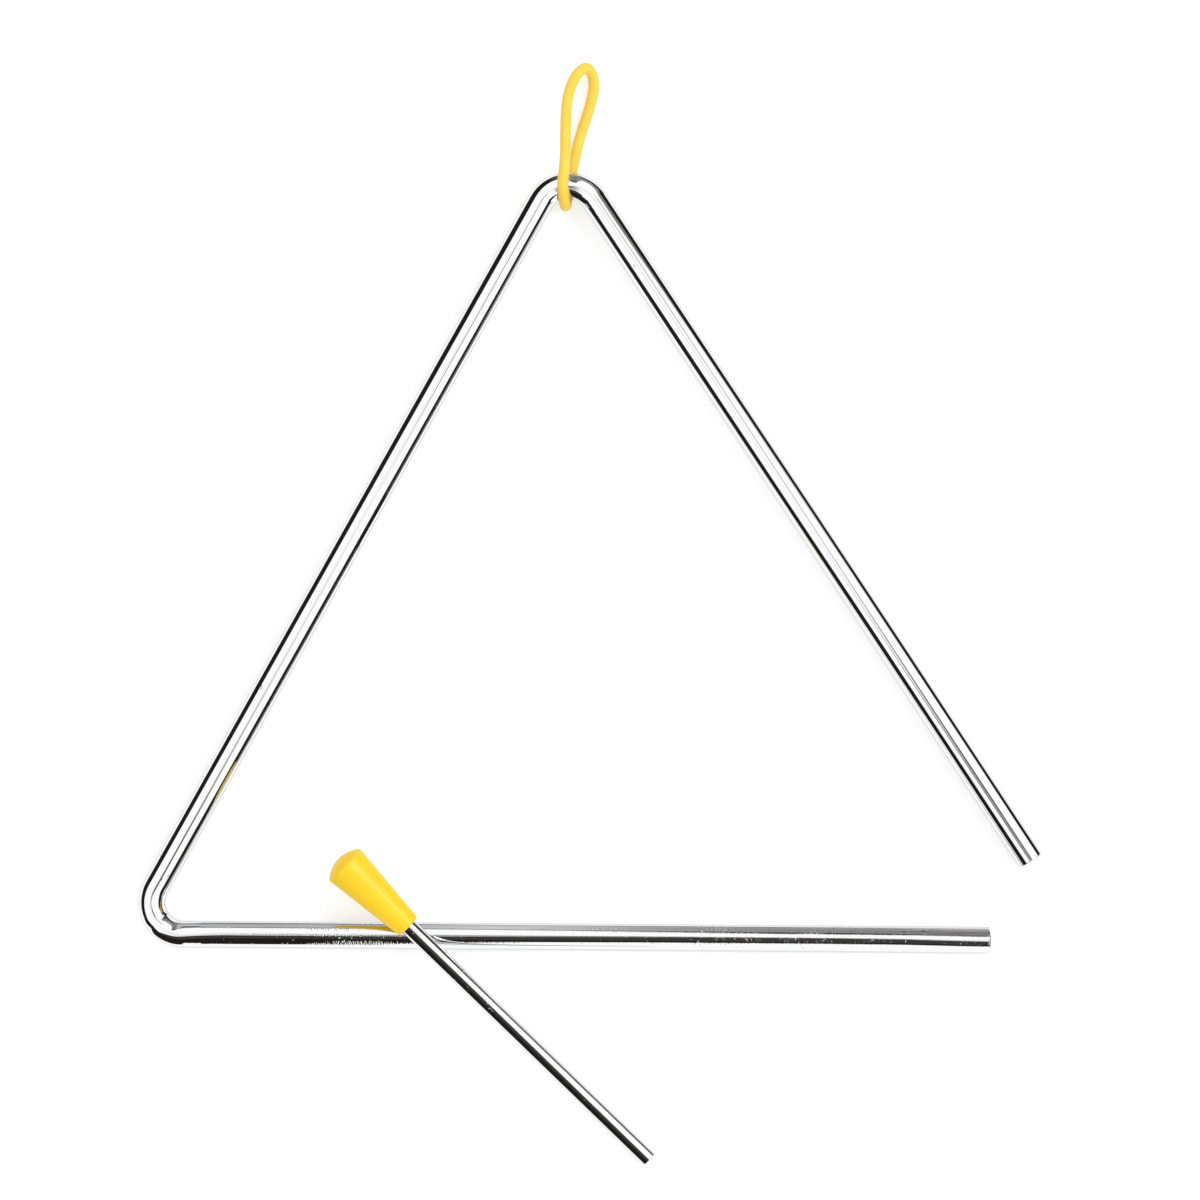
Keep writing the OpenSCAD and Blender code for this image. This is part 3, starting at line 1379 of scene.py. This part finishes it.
@dataclass
class Studio:
    """The white table, the soft light and the camera.

    The picture is view_width wide at the height of view_level. The sky is the light's level for
    matt surfaces. The chrome sees the tent's level above the horizon, low_tent round it and
    under_tent below it, and each zone is where one becomes the next, as angles from the zenith.
    """

    camera_height: float = 1.2
    view_width: float = 0.3556
    view_level: float = 0.005
    over: Pair = (0.00239, 0.00428)
    roll: float = 0.43
    sensor: float = 36.0
    clip: Pair = (0.05, 20.0)
    table_size: float = 6.0
    table_cuts: int = 4
    table_colour: float = 0.72
    table_glow: float = 0.42
    sky: float = 0.97
    tent: float = 1.38
    low_tent: float = 1.36
    low_zone: Pair = (80.0, 100.0)
    under_tent: float = 0.93
    under_zone: Pair = (118.0, 150.0)
    lamp_place: Triple = (1.08, 0.27, 1.28)
    lamp_size: float = 0.5
    lamp_power: float = 8.0
    flags: tuple[Ring | Card, ...] = TENT_FLAGS

    def camera(self) -> None:
        """Hang the camera over the table, looking straight down."""
        Bench.clear()
        bpy.ops.object.camera_add(
            location=(*self.over, self.camera_height), rotation=(0, 0, math.radians(self.roll))
        )
        camera = bpy.context.object
        camera.data.sensor_width = self.sensor
        camera.data.lens = self.sensor * (self.camera_height - self.view_level) / self.view_width
        camera.data.clip_start, camera.data.clip_end = self.clip
        bpy.context.scene.camera = camera

    def table(self) -> None:
        """Lay the white table that holds the soft shadow, and that no mirror sees."""
        Bench.clear()
        bpy.ops.mesh.primitive_plane_add(size=self.table_size, location=(0, 0, 0))
        table = bpy.context.object
        table.name = "table"
        bpy.ops.object.mode_set(mode="EDIT")
        bpy.ops.mesh.subdivide(number_cuts=self.table_cuts)
        bpy.ops.object.mode_set(mode="OBJECT")
        made = bpy.data.materials.new("white_table")
        made.use_nodes = True
        nodes = Nodes(made.node_tree)
        lit = nodes.add("BsdfDiffuse", Color=grey(self.table_colour))
        glow = nodes.add("Emission", Strength=nodes.math("MULTIPLY", nodes.seen(), self.table_glow))
        both = nodes.add("AddShader")
        nodes.feed(both.inputs[0], lit.outputs[0])
        nodes.feed(both.inputs[1], glow.outputs[0])
        nodes.finish(both)
        table.data.materials.append(made)
        table.visible_glossy = False

    def lamp(self) -> None:
        """Hang one large soft lamp to the right of the object."""
        Bench.clear()
        place = Vector(self.lamp_place)
        turn = place.to_track_quat("Z", "Y").to_euler()
        bpy.ops.object.light_add(type="AREA", location=place, rotation=turn)
        lamp = bpy.context.object
        lamp.data.shape = "SQUARE"
        lamp.data.size = self.lamp_size
        lamp.data.energy = self.lamp_power

    def world(self) -> None:
        """Make the tent: plain white for the camera and matt surfaces, with flags for chrome."""
        made = bpy.data.worlds.new("tent")
        bpy.context.scene.world = made
        made.use_nodes = True
        nodes = Nodes(made.node_tree)
        sky = SkyPlace(nodes)
        light = grey(self.tent)
        zones = ((self.low_zone, self.low_tent), (self.under_zone, self.under_tent))
        for (start, end), level in zones:
            share = nodes.ramp(sky.zenith, start / DOWN, end / DOWN)
            light = nodes.blend(share, light, grey(level))
        for flag in self.flags:
            light = nodes.blend(flag.cover(nodes, sky), light, flag.colour)
        matt = nodes.blend(nodes.seen(), grey(self.sky), grey(1.0))
        glossy = nodes.add("LightPath").outputs["Is Glossy Ray"]
        background = nodes.add("Background", Color=nodes.blend(glossy, matt, light))
        output = nodes.add("OutputWorld")
        nodes.feed(output.inputs["Surface"], background.outputs[0])

    def build(self) -> None:
        """Set up the table, the light and the colour handling."""
        self.table()
        self.lamp()
        self.world()
        bpy.context.scene.view_settings.view_transform = "Standard"


def main() -> None:
    """Build the studio and each piece in turn."""
    logging.basicConfig(level=logging.INFO, format="%(message)s")
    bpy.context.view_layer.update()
    studio = Studio()
    studio.camera()
    # The first joint is the loop's, in the middle of the rod at the apex.
    apex = Vector(frame["joints"][0]["pos_m"])
    plan = TrianglePlan()

    rod = TriangleRod(plan, apex)
    rod_piece = rod.build()
    rod.dress(rod_piece, Chrome("triangle_chrome", TRIANGLE_STRETCHES))
    LOG.info("triangle rod: %d faces", len(rod_piece.data.polygons))

    loop = HangingLoop(apex, plan.rod_r)
    loop_piece = loop.build()
    rubber = SoftPlastic(
        "loop_rubber",
        colour=(0.93, 0.65, 0.075, 1),
        shade=(0.91, 0.60, 0.06, 1),
        roughness=0.5,
        subsurface=0.1,
    )
    loop.dress(loop_piece, rubber)
    LOG.info("hanging loop: %d faces", len(loop_piece.data.polygons))

    corner = plan.placement(apex) @ Vector((0, 0, 0))
    corner.z = 0
    beater = Beater(corner, plan.rod_d)
    beater_rod = beater.build_rod()
    beater_handle = beater.build_handle()
    grip = SoftPlastic(
        "grip_plastic",
        colour=(0.97, 0.64, 0.008, 1),
        shade=(0.95, 0.60, 0.006, 1),
        roughness=0.38,
        subsurface=0.1,
        specular=0.42,
    )
    beater.dress(beater_rod, beater_handle, Chrome("beater_chrome", BEATER_STRETCHES), grip)
    LOG.info("beater rod: %d faces", len(beater_rod.data.polygons))
    LOG.info("beater handle: %d faces", len(beater_handle.data.polygons))

    studio.build()


if __name__ == "__main__":
    main()
